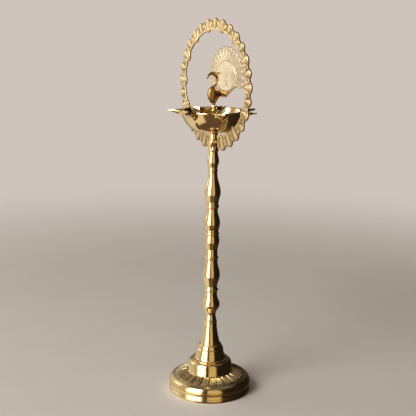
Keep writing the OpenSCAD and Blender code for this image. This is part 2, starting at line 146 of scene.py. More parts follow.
class Flow:
    """A node's output that can be used in sums, so that a pattern reads as its formula."""

    def __init__(self, graph, socket):
        self.graph, self.socket = graph, socket

    def sum(self, operation, *values):
        return self.graph.node("ShaderNodeMath", {"operation": operation}, dict(enumerate(values)))

    def __add__(self, other):
        return self.sum("ADD", self, other)

    def __radd__(self, other):
        return self.sum("ADD", other, self)

    def __sub__(self, other):
        return self.sum("SUBTRACT", self, other)

    def __rsub__(self, other):
        return self.sum("SUBTRACT", other, self)

    def __mul__(self, other):
        return self.sum("MULTIPLY", self, other)

    def __rmul__(self, other):
        return self.sum("MULTIPLY", other, self)

    def __truediv__(self, other):
        return self.sum("DIVIDE", self, other)

    def above(self, level, softness):
        """0 below the level, 1 above it, with a soft step between."""
        settings = {"interpolation_type": "SMOOTHSTEP"}
        ends = {"Value": self, "From Min": level - softness, "From Max": level + softness}
        return self.graph.node("ShaderNodeMapRange", settings, ends)


class Graph:
    """Builds the nodes of one material, light or geometry tree."""

    def __init__(self, tree):
        self.tree = tree

    def node(self, kind, settings=None, sockets=None, out=0):
        made = self.tree.nodes.new(kind)
        for key, value in (settings or {}).items():
            if key == "stops":
                ramp = made.color_ramp
                while len(ramp.elements) < len(value):
                    ramp.elements.new(0.5)
                for element, (place, colour) in zip(ramp.elements, value):
                    element.position, element.color = place, (*colour, 1)
            else:
                setattr(made, key, value)
        for key, value in (sockets or {}).items():
            if isinstance(value, Flow):
                self.tree.links.new(value.socket, made.inputs[key])
            else:
                made.inputs[key].default_value = value
        return Flow(self, made.outputs[out]) if len(made.outputs) else made

    def scaled(self, vector, factors):
        return self.node("ShaderNodeVectorMath", {"operation": "MULTIPLY"}, {0: vector, 1: factors})

    def noise(self, vector, scale, detail=3.0, roughness=0.5):
        sockets = {"Vector": vector, "Scale": scale, "Detail": detail, "Roughness": roughness}
        return self.node("ShaderNodeTexNoise", {}, sockets)

    def blend(self, factor, a, b):
        settings = {"data_type": "RGBA"}
        first = a if isinstance(a, Flow) else (*a, 1)
        second = b if isinstance(b, Flow) else (*b, 1)
        return self.node("ShaderNodeMix", settings, {0: factor, 6: first, 7: second}, 2)


def finish_surface(material, graph, colour, roughness, bumps, **constants):
    """Joins the worked-out colour, roughness and stacked bumps to the surface shader."""
    normal = None
    for height, strength, depth in bumps:
        sockets = {"Height": height, "Strength": strength, "Distance": depth}
        if normal:
            sockets["Normal"] = normal
        normal = graph.node("ShaderNodeBump", {}, sockets)
    sockets = {"Base Color": colour, "Roughness": roughness, "Normal": normal, **constants}
    shader = graph.node("ShaderNodeBsdfPrincipled", {}, sockets)
    graph.node("ShaderNodeOutputMaterial", {}, {"Surface": shader})
    return material


def new_material(name):
    material = bpy.data.materials.new(name)
    material.use_nodes = True
    material.node_tree.nodes.clear()
    return material, Graph(material.node_tree)


def polished_brass(name, bright, deep, turning=1.0):
    """Lathe-turned brass under a thin lacquer: fine turning rings, soft waves and a few handling marks."""
    material, graph = new_material(name)
    place = graph.node("ShaderNodeTexCoord", {}, {}, "Object")
    waves = graph.noise(place, 70.0, 2.0)
    clouds = graph.noise(place, 26.0, 4.0, 0.6)
    rings = graph.noise(graph.scaled(place, (40.0, 40.0, 2600.0)), 1.0, 4.0, 0.65)
    wipes = graph.noise(graph.scaled(place, (900.0, 140.0, 320.0)), 1.0, 3.0, 0.6)
    specks = graph.noise(place, 900.0, 2.0, 0.7).above(0.72, 0.05)
    tone = graph.blend((clouds * 1.6 - 0.3).above(0.5, 0.45), deep, bright)
    tone = graph.blend(specks * 0.35, tone, tuple(0.45 * c for c in deep))
    roughness = 0.05 + rings * 0.07 * turning + wipes.above(0.6, 0.2) * 0.07 + clouds * 0.04
    bumps = [(waves, 0.16, 0.0012), (rings, 0.10 * turning, 0.00016), (specks, 0.12, 0.0001)]
    return finish_surface(material, graph, tone, roughness, bumps, Metallic=1.0)


foot_brass = polished_brass("polished_brass", (0.93, 0.77, 0.47), (0.86, 0.66, 0.34))
plinth_r = 67.5
moulding_r, moulding_z = 9.5, 16.0
petal_band_r, collar_r = 58.5, 36.0
band_z, collar_z, shoulder_z, foot_top = 26.2, 34.0, 44.5, 52.5
wall = 3.0
stud_r, stud_top = 6.0, float(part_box("base_foot")[1][2]) / MM
boss_r, boss_low = 10.0, foot_top - wall - 8
moulding_centre = plinth_r - 0.5 - moulding_r


def shoulder_arc(inset):
    """The collar's rounded shoulder, or its inner side one wall further in."""
    reach, rise = 5.75, foot_top - shoulder_z - inset
    centre = collar_r - inset - reach
    turn = np.radians(np.linspace(8, 90, 10))
    return [(centre + reach * math.cos(a), shoulder_z + rise * math.sin(a)) for a in turn]


foot_profile = (
    [(plinth_r, 0.0), (plinth_r, 5.6), (plinth_r - 0.9, 6.3), (plinth_r - 0.9, 13.2),
     (plinth_r - 0.2, 13.8), (plinth_r - 0.2, 14.5), (plinth_r - 1.9, 14.9), (plinth_r - 1.7, 15.7)]
    + arc(moulding_centre, moulding_z, moulding_r, 0, 72, 16)
    + [(collar_r + 12, 28.2), (collar_r + 1.4, collar_z - 1.7), (collar_r + 0.3, collar_z - 1.0),
       (collar_r, collar_z + 0.2), (collar_r, shoulder_z)]
    + shoulder_arc(0) + [(stud_r, foot_top)] + thread(stud_r, foot_top, stud_top)
    + [(0, boss_low), (boss_r, boss_low), (boss_r, foot_top - wall)] + shoulder_arc(wall)[::-1]
    + [(collar_r - wall, shoulder_z), (collar_r - wall, collar_z - 2.4), (56.6, 22.0)]
    + arc(moulding_centre, moulding_z, moulding_r - wall, 60, 0, 8)
    + [(plinth_r - wall - 0.6, 14.6), (plinth_r - wall, 0.0)]
)
foot_casting = lathe_piece("foot_casting", foot_profile)


def plaque(name, outline, centre, height, place, rings=9, back=1.2, sharp=50):
    """A flat-backed cast ornament: an outline filled with rings of points, raised by a height formula.

    The formula takes (x, y, reach), where reach runs from 0 at the centre to 1 at the outline;
    place turns (x, y, height) into a point of the lamp.
    """
    outline, centre = np.array(outline, float), np.array(centre, float)
    count = len(outline)
    reaches = np.append(np.linspace(0, 1, rings) ** 0.8, 1.0)
    points, relief = [], []
    for step, reach in enumerate(reaches):
        for x, y in centre + (outline - centre) * reach:
            lift = height(x, y, reach) if step < rings else -back
            points.append(place(x, y, lift))
            # The relief value sets the finish's tone: low places and sunken rims come out darker, as
            # tarnish and painted shade, and the back gets a middle tone.
            relief.append(min(max(lift / 1.4, 0), 1) if step < rings else 0.6)
    faces = []
    for step in range(len(reaches) - 1):
        here, after = step * count, (step + 1) * count
        for k in range(count):
            nxt = (k + 1) % count
            faces.append((here + k, here + nxt, after + nxt, after + k))
    last = (len(reaches) - 1) * count
    points.append(place(centre[0], centre[1], -back))
    relief.append(0.6)
    faces += [(last + k, last + (k + 1) % count, len(points) - 1) for k in range(count)]
    return mesh_piece(name, points, faces, relief, sharp)


def engraved_brass(name, pale, dark, polish_shade_at, polish_shade_span, rough, grain=1.0):
    """Cast relief left matt from the mould: bright on its ridges, brown where polishing can't reach, with
    painted shade laid in that same dark colour in the hollows and on the edge walls.
    """
    material, graph = new_material(name)
    place = graph.node("ShaderNodeTexCoord", {}, {}, "Object")
    height = graph.node("ShaderNodeAttribute", {"attribute_name": "relief"}, {}, "Fac")
    clouds = graph.noise(place, 45.0, 4.0, 0.6)
    sand = graph.noise(place, 1500.0, 3.0, 0.6)
    pits = graph.noise(place, 520.0, 2.0, 0.5)
    # Bright on the high places, dark in the low ones: the dark is tarnish and painted shade together, in
    # creases and on edge walls.
    ridge_polish_and_hollow_shade = (height + (clouds - 0.5) * 0.35 + (pits - 0.5) * 0.25).above(polish_shade_at, polish_shade_span)
    tone = graph.blend(ridge_polish_and_hollow_shade, dark, pale)
    tone = graph.blend((clouds * 1.4 - 0.2) * 0.3, tone, tuple(0.82 * c for c in pale))
    roughness = rough + 0.16 - ridge_polish_and_hollow_shade * 0.16 + (sand - 0.5) * 0.12
    bumps = [(pits, 0.22 * grain, 0.0004), (sand, 0.35 * grain, 0.00012)]
    return finish_surface(material, graph, tone, roughness, bumps, Metallic=1.0)


def set_round(name, motif, count, step, first, axis, hub, material):
    """Geometry nodes: sets copies of one motif round a hub, a fixed step apart, as one mesh."""
    tree = bpy.data.node_groups.new(name, "GeometryNodeTree")
    ports = {"Motif": ("NodeSocketObject", motif), "Count": ("NodeSocketInt", count),
             "Step": ("NodeSocketFloat", step), "First angle": ("NodeSocketFloat", first),
             "Axis": ("NodeSocketVector", axis), "Hub": ("NodeSocketVector", hub),
             "Finish": ("NodeSocketMaterial", material)}
    for port, (kind, value) in ports.items():
        tree.interface.new_socket(port, in_out="INPUT", socket_type=kind)
    tree.interface.new_socket("Mesh", in_out="OUTPUT", socket_type="NodeSocketGeometry")
    graph = Graph(tree)
    entry = tree.nodes.new("NodeGroupInput")
    ask = {port: Flow(graph, entry.outputs[port]) for port in ports}
    line = graph.node("GeometryNodeMeshLine", {"mode": "OFFSET"},
                      {"Count": ask["Count"], "Start Location": ask["Hub"], "Offset": (0, 0, 0)})
    motif_mesh = graph.node("GeometryNodeObjectInfo", {}, {"Object": ask["Motif"]}, "Geometry")
    angle = graph.node("GeometryNodeInputIndex") * ask["Step"] + ask["First angle"]
    turn = graph.node("ShaderNodeVectorMath", {"operation": "SCALE"}, {0: ask["Axis"], "Scale": angle})
    copies = graph.node("GeometryNodeInstanceOnPoints", {},
                        {"Points": line, "Instance": motif_mesh, "Rotation": turn})
    solid = graph.node("GeometryNodeRealizeInstances", {}, {0: copies})
    coated = graph.node("GeometryNodeSetMaterial", {}, {"Geometry": solid, "Material": ask["Finish"]})
    leave = tree.nodes.new("NodeGroupOutput")
    tree.links.new(coated.socket, leave.inputs[0])

    holder = bpy.data.objects.new(name, bpy.data.meshes.new(name))
    bpy.context.scene.collection.objects.link(holder)
    modifier = holder.modifiers.new("set_round", "NODES")
    modifier.node_group = tree
    for item in tree.interface.items_tree:
        if item.in_out == "INPUT":
            modifier[item.identifier] = ports[item.name][1]
    ready = holder.evaluated_get(bpy.context.evaluated_depsgraph_get())
    mesh = bpy.data.meshes.new_from_object(ready)
    holder.modifiers.remove(modifier)
    holder.data = mesh
    bpy.data.objects.remove(motif)
    return holder


petals = 24
petal_turn = 2 * math.pi / petals
petal_inner = collar_r + 0.8


def petal_outline():
    """Straight sides on the band's slope and a round tip, as (share of the half pitch, radius)."""
    tip = [(math.sin(a), petal_band_r - 4.6 * (1 - math.cos(a)))
           for a in np.radians(np.linspace(-80, 80, 23))]
    side = [(0.99, r) for r in np.linspace(petal_band_r - 5.4, petal_inner, 9)]
    foot = [(s, petal_inner) for s in np.linspace(0.7, -0.7, 5)]
    return tip + side + foot + [(-s, r) for s, r in side[::-1]]


def petal_height(share, radius, reach):
    """A low crown with five cut ribs that fan towards the tip, sinking under the collar's edge."""
    ribs = math.cos(5 * math.pi * share)
    fade = min(1.0, max(0.0, (petal_band_r - 1.2 - radius) / 2)) * min(1.0, (1 - reach) * 6)
    sink = min(1.0, max(0.0, (collar_r + 2.4 - radius) / 1.6))
    crown = 0.55 + 0.45 * (1 - share ** 2) * (1 - reach ** 6) + 0.45 * ribs * fade
    return crown - 0.6 * reach ** 10 - 1.1 * sink


def on_band(share, radius, lift):
    """From the petal's own measure to its place on the sloping band."""
    slope = (radius - collar_r) / (petal_band_r - collar_r)
    angle = share * petal_turn / 2
    z = collar_z - 1.3 + (band_z - collar_z + 0.3) * slope ** 1.15 + lift
    return radius * math.cos(angle), radius * math.sin(angle), z


petal = plaque("petal", petal_outline(), (0, 48.5), petal_height, on_band, rings=14, back=0.7)
# The dark colour is tarnish and painted shade between the petals' ribs and round their edges.
petal_brass = engraved_brass("engraved_brass", (0.90, 0.74, 0.44), (0.09, 0.055, 0.022), 0.42, 0.24, 0.22)
petal_band = set_round("petal_band", petal, petals, petal_turn, 0.06, (0, 0, 1), (0, 0, 0), petal_brass)

foot_casting.data.materials.append(foot_brass)
for piece in (foot_casting, petal_band):
    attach(piece, "foot")
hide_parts("base_foot")

# ---------------------------------------------------------------- bell
# A hollow bell casting with a thin flange, turned in two stages, with a bead on top.
# It screws down over the foot's stud, and carries the stud for the stem.
flange_r, flange_t = 29.75, 2.0
bell_r, step_z, lower_top_r = 25.3, 79.0, 19.4
upper_r, throat_r, throat_z = 16.2, 10.4, 113.5
bell_bead_r, neck_r = 10.7, 8.1
stem_z = 129.5
rod_r, rod_h, rod_gap = 4.0, 14.0, 0.05
flare = [(throat_r + (upper_r - throat_r) * (1 - t) ** 1.7, step_z + 0.5 + (throat_z - step_z - 0.5) * t)
         for t in np.linspace(0, 1, 22)]
inner_flare = [(r - wall, z) for r, z in flare if z < throat_z - rod_h]
seat_gap, hub_top = 0.02, foot_top + 18
bell_low = foot_top + seat_gap
bell_profile = (
    [(boss_r, bell_low), (flange_r, bell_low), (flange_r, foot_top + flange_t),
     (bell_r + 0.6, foot_top + flange_t + 0.2), (bell_r, foot_top + flange_t + 1.2)]
    + [(bell_r + (lower_top_r - bell_r) * t ** 0.9, foot_top + 3.2 + (step_z - 5.4 - foot_top) * t)
       for t in np.linspace(0, 1, 10)]
    + [(lower_top_r - 0.6, step_z - 0.9), (lower_top_r - 1.7, step_z), (upper_r + 0.4, step_z)]
    + flare + [(throat_r - 0.3, throat_z + 0.7)]
    + arc(bell_bead_r - 2.1, throat_z + 3.6, 2.1, -75, 75)
    + sweep((bell_bead_r - 1.2, throat_z + 6.6), (neck_r, stem_z))
    + [(rod_r, stem_z)] + thread(rod_r, stem_z, stem_z + rod_h)
    + [(0, throat_z - rod_h), inner_flare[-1]] + inner_flare[::-1]
    + [(upper_r - wall, step_z - wall), (lower_top_r - wall, step_z - wall), (bell_r - wall, hub_top),
       (boss_r, hub_top), (stud_r + rod_gap, hub_top - 2), (stud_r + rod_gap, bell_low)]
)
bell_turning = lathe_piece("bell_turning", bell_profile)
bell_turning.data.materials.append(foot_brass)
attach(bell_turning, "bell")
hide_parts("bell")

# ---------------------------------------------------------------- stem
# Two solid brass turnings that screw end to end: bulbs, long balusters and bead rings.
# Each has a threaded socket below and a stud above; they meet at a sharp line half way up.
middle_z, seat_z = 263.5, 400.5
ring_r, ring_neck_r = 11.7, 9.8
middle_r, slim_r = 11.4, 7.4


def bead(low, radius, neck, height=8.0):
    """A half-round bead between two fine grooves."""
    collar, bead_r = neck + 0.7, height * 0.22
    lower = [(neck, low), (neck, low + height * 0.14), (collar, low + height * 0.2),
             (collar, low + height * 0.27)]
    upper = [(r, 2 * low + height - z) for r, z in lower[::-1]]
    return lower + arc(radius - bead_r, low + height / 2, bead_r, -80, 80) + upper


def socket_below(low, radius, depth):
    """The blind hole that takes the stud of the piece below, from the axis down to the mouth."""
    return [(0, low + depth), (radius, low + depth - 1.5), (radius, low)]


lower_profile = (
    socket_below(stem_z, rod_r + rod_gap, 15)
    + turned((neck_r, stem_z), (14.6, 146.8), (ring_neck_r + 0.2, 164.0))
    + [(ring_neck_r - 0.4, 164.6), (ring_neck_r - 0.4, 165.2), (ring_neck_r + 0.4, 165.8)]
    + bead(168.0, ring_r + 0.2, ring_neck_r)
    + turned((ring_neck_r, 176.0), (14.0, 196.9), (ring_neck_r, 222.5))
    + bead(222.5, ring_r - 0.5, ring_neck_r)
    + turned((ring_neck_r - 0.2, 230.5), (ring_neck_r - 0.2, 238.5), (12.3, 255.2), (middle_r, middle_z))
    + [(rod_r, middle_z)] + thread(rod_r, middle_z, middle_z + rod_h)
)
rod_top = float(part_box("upper_stem")[1][2]) / MM
upper_profile = (
    socket_below(middle_z, rod_r + rod_gap, 15)
    + [(middle_r - 0.8, middle_z), (middle_r - 0.8, middle_z + 0.5)]
    + arc(middle_r - 2.2, middle_z + 3.4, 2.6, -70, 70)
    + turned((middle_r - 0.6, middle_z + 7), (13.0, 284.6), (ring_neck_r - 0.9, 305.0),
             (ring_neck_r - 0.9, 307.6))
    + bead(308.0, ring_r - 0.6, ring_neck_r - 0.2)
    + turned((ring_neck_r, 316.0), (13.2, 334.5), (slim_r, 365.5))
    + bead(366.0, 7.9, slim_r - 0.4)
    + turned((slim_r, 374.0), (9.7, 385.1), (slim_r + 0.1, 399.8))
    + [(slim_r - 0.3, seat_z), (rod_r, seat_z)] + thread(rod_r, seat_z, rod_top)
)
for name, profile in (("lower_stem", lower_profile), ("upper_stem", upper_profile)):
    turning = lathe_piece(name + "_turning", profile, around=128)
    turning.data.materials.append(foot_brass)
    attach(turning, name)
    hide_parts(name)

# ---------------------------------------------------------------- halo seat
# A small turned collar on top of the stem, cut with flutes round its flare.
# Its flat top carries the halo's lug.
seat_r, lug_z, lug_t = 10.9, 417.5, 2.0
flutes, flute_depth, flare_steps = 12, 0.85, 8
round_seat = np.linspace(0, 2 * math.pi, 12 * flutes, endpoint=False)
fluting = 0.5 - 0.5 * np.cos(flutes * round_seat)
bore = rod_r + rod_gap
seat_foot = [(bore, seat_z), (slim_r - 0.2, seat_z)] + arc(slim_r - 0.5, seat_z + 2.5, 2.0, -75, 75, 8)
seat_flare = [(slim_r + 0.3 + (seat_r - 1.2 - slim_r) * t ** 1.5, seat_z + 5.6 + 7.0 * t)
              for t in np.linspace(0, 1, flare_steps + 1)]
seat_top = [(seat_r - 0.7, lug_z - 3.6), (seat_r, lug_z - 2.4), (seat_r, lug_z - 0.3),
            (seat_r - 0.3, lug_z), (bore, lug_z)]
rows = [(np.full_like(fluting, r), z) for r, z in seat_foot]
for k, (r, z) in enumerate(seat_flare):
    cut = flute_depth * math.sin(math.pi * min(1, (k + 0.6) / flare_steps))
    rows.append((r - cut * fluting, z))
rows += [(np.full_like(fluting, r), z) for r, z in seat_top]
seat_turning = loop_round("seat_turning", rows, round_seat)
seat_turning.data.materials.append(foot_brass)
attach(seat_turning, "upper_stem")
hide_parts("halo_seat")

# ---------------------------------------------------------------- halo
# A flat sand casting left pale and matt: a band edged with shell lobes, large and small in turn,
# with striped leaves at its foot. Its lug lies on the seat, clamped under the bowl's neck.
halo_r, halo_z = 103.8, 505.5
open_w, open_h, open_z = 88.0, 83.5, 2.0
plate_front, plate_back = 1.0, 1.7
notch, notch_r = 12.4, 86
lobe_pitch = math.radians(12.6)
# The dark colour is tarnish and painted shade in the lobes' creases and on the band's edge walls.
halo_brass = engraved_brass("cast_brass", (0.93, 0.74, 0.43), (0.24, 0.14, 0.06), 0.26, 0.24, 0.34, 0.7)


def band_section(angle):
    """Closed cross-section of the band where it meets the given angle, as (radius, forward)."""
    s, c = math.sin(angle), math.cos(angle)
    inner = open_z * c + 1 / math.hypot(s / open_w, c / open_h)
    leafy = max(0.0, -c - 0.75) * 14
    inner -= leafy
    outer = 99.5
    width = outer - inner
    ripple = 0.22 * math.cos(angle / lobe_pitch * 2 * math.pi)
    raised_edge = [(inner, 0.3 - plate_back), (inner - 0.1, plate_front - 0.3), (inner + 0.2, plate_front),
                   (inner + 0.9, plate_front + 0.2), (inner + 1.6, plate_front + 0.15),
                   (inner + 2.4, plate_front - 0.1)]
    face = [(inner + width * 0.4, plate_front - 0.1 + ripple), (inner + width * 0.55, plate_front + ripple),
            (inner + width * 0.8, plate_front), (outer, plate_front - 0.4)]
    behind = [(outer, 0.4 - plate_back), (outer - 0.5, -plate_back), (inner + 0.5, -plate_back)]
    return raised_edge + face + behind


def skin_over(rings):
    """Joins equal rings of points into a closed skin, as its points and faces."""
    sides, last = len(rings[0]), len(rings) - 1
    faces = [tuple(range(sides)), tuple(last * sides + j for j in range(sides))]
    for k in range(last):
        here, after = k * sides, (k + 1) * sides
        for j in range(sides):
            nxt = (j + 1) % sides
            faces.append((here + j, here + nxt, after + nxt, after + j))
    return [p for ring in rings for p in ring], faces


swing = math.pi - math.asin(notch / notch_r)
band_angles = np.linspace(-swing, swing, 401)
sections = [band_section(a) for a in band_angles]
band_rings = [[(r * math.sin(a), -f, halo_z + r * math.cos(a)) for r, f in section]
              for a, section in zip(band_angles, sections)]
# The band's inner and outer edge walls get the lowest value, which paints them dark as shade; its back gets
# a middle value.
band_relief = [0.6 if f == -plate_back else min(max((f - 0.6) / 0.8, 0), 1)
               for section in sections for _, f in section]
halo_band = mesh_piece("halo_band", *skin_over(band_rings), band_relief)
halo_band.data.materials.append(halo_brass)


motif_back = plate_front + plate_back - 0.3


def upright(x, y, lift):
    """From a halo ornament's own plane to the upright plane of the halo."""
    return x, -plate_front - lift, y


def shell_motif(name, half, height_out, root, ribs, rise):
    """A mango-shaped lobe: round outside, drawn in to a small nub at the opening, ribbed from there."""
    middle = halo_r - height_out
    outline = []
    for a in np.linspace(0, 2 * math.pi, 84, endpoint=False):
        c, s = math.cos(a), math.sin(a)
        if c > 0:
            scallop = 1 + 0.012 * math.cos(ribs * 2 * a)
            outline.append((half * s * scallop, middle + height_out * c * scallop))
        else:
            width = half * (1 - 0.42 * (-c) ** 1.5) * (abs(s) ** 0.6) * (1 if s > 0 else -1)
            outline.append((width, middle + (middle - root) * c))

    def height(x, y, reach):
        spread = math.atan2(x, y - root + 3.0)
        grooves = math.cos(spread * ribs * 2.4)
        dome = 1 - reach ** 3.0
        rim = 0.35 * math.exp(-((reach - 0.9) / 0.07) ** 2)
        carving = 0.55 * grooves * min(1, reach * 2) * (1 - reach ** 5)
        return 0.1 + rise * dome + rim + carving - 0.5 * reach ** 12

    return plaque(name, outline, (0, middle), height, upright, rings=10, back=motif_back)


def leaf_motif():
    """A long leaf with a rounded tip and five stripes, for the foot of the halo."""
    leaf_middle = 91
    outline = []
    for a in np.linspace(0, 2 * math.pi, 60, endpoint=False):
        y = leaf_middle + 13 * math.cos(a)
        width = 9.6 if math.cos(a) > 0 else 9.6 + 2.2 * math.cos(a)
        outline.append((width * math.sin(a), y))

    def height(x, y, reach):
        stripes = math.cos(x / (0.35 * (y - 62)) * 2.1 * math.pi)
        return 0.55 * (1 - reach ** 4) + 0.38 * stripes * (1 - reach ** 6) - 0.45 * reach ** 12

    return plaque("leaf", outline, (0, leaf_middle), height, upright, rings=11, back=motif_back)


hub = (0, 0, halo_z * MM)
about_y = (0, 1, 0)
shell = shell_motif("shell", 10.4, 9.6, 83.0, 4, 0.8)
drop = shell_motif("drop", 8.3, 8.0, 87.4, 3, 0.6)
halo_rounds = [
    ("large_shells", shell, 10, 2 * lobe_pitch, -9 * lobe_pitch),
    ("small_shells", drop, 11, 2 * lobe_pitch, -10 * lobe_pitch),
    ("right_leaves", leaf_motif(), 3, lobe_pitch, 11 * lobe_pitch),
    ("left_leaves", leaf_motif(), 3, lobe_pitch, -13 * lobe_pitch),
]
halo_parts = [set_round(*each_round, about_y, hub, halo_brass) for each_round in halo_rounds]

round_lug = np.linspace(0, 2 * math.pi, 180, endpoint=False)
lug_r, bar_half, bar_wide, softened = 10.4, 15.8, 3.0, 0.3
across, along = (np.maximum(abs(side(round_lug)), 1e-9) for side in (np.cos, np.sin))
lug_edge = np.maximum(lug_r, np.minimum(bar_half / across, bar_wide / along))
hole = np.full_like(round_lug, bore)
lug_low, lug_high = lug_z + seat_gap, lug_z + lug_t - seat_gap
lug_rows = [(hole, lug_low), (lug_edge - softened, lug_low), (lug_edge, lug_low + softened),
            (lug_edge, lug_high - softened), (lug_edge - softened, lug_high), (hole, lug_high)]
halo_lug = loop_round("halo_lug", lug_rows, round_lug, relief=np.full(len(lug_rows) * len(round_lug), 0.35))
halo_lug.data.materials.append(halo_brass)
for piece in (halo_band, halo_lug, *halo_parts):
    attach(piece, "halo")
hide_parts("halo")

# ---------------------------------------------------------------- bowl neck
# A plain turned spacer that screws down on the top stud and clamps the halo's lug.
# Its flange sits under the bowl, and its own stud goes up through the bowl's floor.
neck_z, bowl_z, floor_z = 419.5, 433.4, 435.4
spacer_r, pan_r = 7.0, 10.0
pin_r, pin_top = 2.5, float(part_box("bowl_neck")[1][2]) / MM
neck_profile = (
    socket_below(neck_z, bore, 11.1)
    + [(spacer_r + 0.8, neck_z), (spacer_r + 0.8, neck_z + 1.0), (spacer_r, neck_z + 1.6),
       (spacer_r, bowl_z - 4.4)]
    + arc(pan_r, bowl_z - 4.4, 3.0, 180, 95, 6) + [(pan_r, bowl_z - 1.4), (pan_r, bowl_z), (pin_r, bowl_z)]
    + thread(pin_r, bowl_z, pin_top, 0.8)
)
neck_turning = lathe_piece("neck_turning", neck_profile, around=112)
neck_turning.data.materials.append(foot_brass)
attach(neck_turning, "bowl")
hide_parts("bowl_neck")

# ---------------------------------------------------------------- oil bowl
# The bowl is cast and turned, and its seven wick spouts are drawn out of its wall as narrow
# channels level with the flat lip, each with a keel that fades into the bowl below.
rim_z, rim_r, lip_w, lip_t = 467.0, 55.0, 6.0, 2.4
spouts, spout_reach = 7, 73.0
root_half, tip_half = 11.0, 2.5
spout_turn = math.radians(31.4)
keel_h = 13.0
sector = math.pi / spouts
bias = np.linspace(-1, 1, 73)[:-1]
within = sector * np.sign(bias) * abs(bias) ** 1.7
round_bowl = np.concatenate([spout_turn + k * 2 * sector + within for k in range(spouts)])


def spout_edge(reach, root, tip, rim):
    """Radius of the bowl's edge at each angle: the rim, drawn out to a narrow tip at every spout."""
    t = np.linspace(0, 1, 60)
    along = rim - 1 + (reach - rim + 1) * t
    half = tip + (root - tip) * (1 - t) ** 1.7
    edge = np.interp(abs(within), np.arctan2(half, along)[::-1], along[::-1], left=reach, right=rim)
    return np.tile(np.maximum(edge, rim), spouts)


outer_edge = spout_edge(spout_reach, root_half, tip_half, rim_r) - rim_r
inner_edge = spout_edge(spout_reach - 1.7, root_half - 1.6, tip_half - 1.3, rim_r - lip_w) - (rim_r - lip_w)


def draw(z):
    """How far the spouts are drawn out at this height: fully at the lip, not at all at the keel's end."""
    return min(1.0, max(0.0, (z - (rim_z - keel_h)) / (keel_h - lip_t))) ** 2.2


def dish(radius, depth, floor_r, low, steps=30):
    """Round wall of the bowl from its flat bottom to the lip, where it still leans outwards."""
    top = math.radians(68)
    return [(floor_r + (radius - floor_r) * math.sin(a) / math.sin(top),
             low + depth * (1 - math.cos(a)) / (1 - math.cos(top))) for a in np.linspace(0, top, steps)]


lip_inner = rim_r - lip_w
outside = [(3.0, bowl_z), (12.0, bowl_z)]
outside += dish(lip_inner + 2.0, rim_z - lip_t - bowl_z - 0.4, 22.0, bowl_z)
lip_line = [(rim_r - 0.6, rim_z - lip_t), (rim_r - 0.05, rim_z - lip_t + 0.45), (rim_r, rim_z - 1.2),
            (rim_r - 0.05, rim_z - 0.4), (rim_r - 0.5, rim_z)]
inside = [(lip_inner + 0.5, rim_z), (lip_inner + 0.1, rim_z - 0.3)]
inside += dish(lip_inner, rim_z - 1.0 - floor_z, 21.0, floor_z)[::-1] + [(12.0, floor_z), (3.0, floor_z)]
crease = np.exp(-(np.tile(within, spouts) / 0.07) ** 2)
bowl_rows = [(r + outer_edge * draw(z) + crease * 1.3 * min(1, (z - bowl_z) / 12), z) for r, z in outside]
bowl_rows += [(r + outer_edge * (1 if z > rim_z - 1.6 else draw(z + 1.0)), z) for r, z in lip_line]
bowl_rows += [(r + inner_edge * (1 if z > rim_z - 0.5 else draw(z - 1.0)), z) for r, z in inside]
bowl_casting = loop_round("bowl_casting", bowl_rows, round_bowl, sharp=60)
bowl_brass = polished_brass("bowl_brass", (0.92, 0.74, 0.45), (0.85, 0.64, 0.34), 0.6)
bowl_casting.data.materials.append(bowl_brass)
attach(bowl_casting, "bowl")
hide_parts("oil_bowl")

# ---------------------------------------------------------------- finial foot
# A turned post that screws down on the bowl's stud: round base, waist, flange and ball.
# The bird's pin is pressed into the top of the ball.
leg_z = float(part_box("finial_foot")[1][2]) / MM
ball_r = 4.8
ball_z = leg_z - ball_r
pin_bore, finial_low = pin_r + rod_gap, floor_z + seat_gap
finial_profile = (
    [(0, floor_z + 15), (pin_bore, floor_z + 14), (pin_bore, finial_low), (8.0, finial_low),
     (8.0, floor_z + 2.0), (7.0, floor_z + 3.0)]
    + sweep((7.0, floor_z + 3.2), (3.6, floor_z + 14.0)) + [(4.2, floor_z + 15.0), (4.2, floor_z + 16.0)]
    + sweep((3.6, floor_z + 16.8), (4.2, ball_z - 6.8))
    + [(6.0, ball_z - 5.9), (6.0, ball_z - 4.7), (3.4, ball_z - 4.1)]
    + arc(0, ball_z, ball_r, -45, 65, 16)
    + [(2.2, leg_z - 0.02), (1.35, leg_z - 0.02), (1.35, leg_z - 5.5), (0, leg_z - 5.5)]
)
finial_post = lathe_piece("finial_post", finial_profile, around=96, ease=0.25)
finial_post.data.materials.append(foot_brass)
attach(finial_post, "finial")
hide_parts("finial_foot")

# ---------------------------------------------------------------- peacock
# The bird is a small solid casting, filed and polished: full breast, S-shaped neck, hooked beak,
# swept crest, an oval wing in relief on each side, on one round leg column.
belly_z = leg_z + 10.0


def curve_through(stations, steps=7):
    """Smooth run of values through a list of stations."""
    stations = [np.array(p, float) for p in stations]
    run = []
    for k in range(len(stations) - 1):
        p0, p1, p2, p3 = (stations[min(max(k + d, 0), len(stations) - 1)] for d in (-1, 0, 1, 2))
        for t in np.linspace(0, 1, steps, endpoint=False):
            run.append(0.5 * (2 * p1 + (p2 - p0) * t + (2 * p0 - 5 * p1 + 4 * p2 - p3) * t ** 2
                              + (3 * p1 - p0 - 3 * p2 + p3) * t ** 3))
    return run + [stations[-1]]


turns = np.linspace(0, 2 * math.pi, 28, endpoint=False)


def level_loft(stations):
    """Body drawn by level slices: (height, back limit, front limit, half width)."""
    rings = []
    for up, back, front, half in curve_through(stations):
        middle, reach = (back + front) / 2, (front - back) / 2
        rings.append([(half * math.sin(a), -middle - reach * math.cos(a), belly_z + up) for a in turns])
    return skin_over(rings)


def length_loft(stations):
    """Body drawn by cross slices: (forward place, lower limit, upper limit, half width)."""
    rings = []
    for forward, low, high, half in curve_through(stations):
        middle, reach = (low + high) / 2, (high - low) / 2
        centre = belly_z + middle
        rings.append([(half * math.sin(a), -forward, centre + reach * math.cos(a)) for a in turns])
    return skin_over(rings)


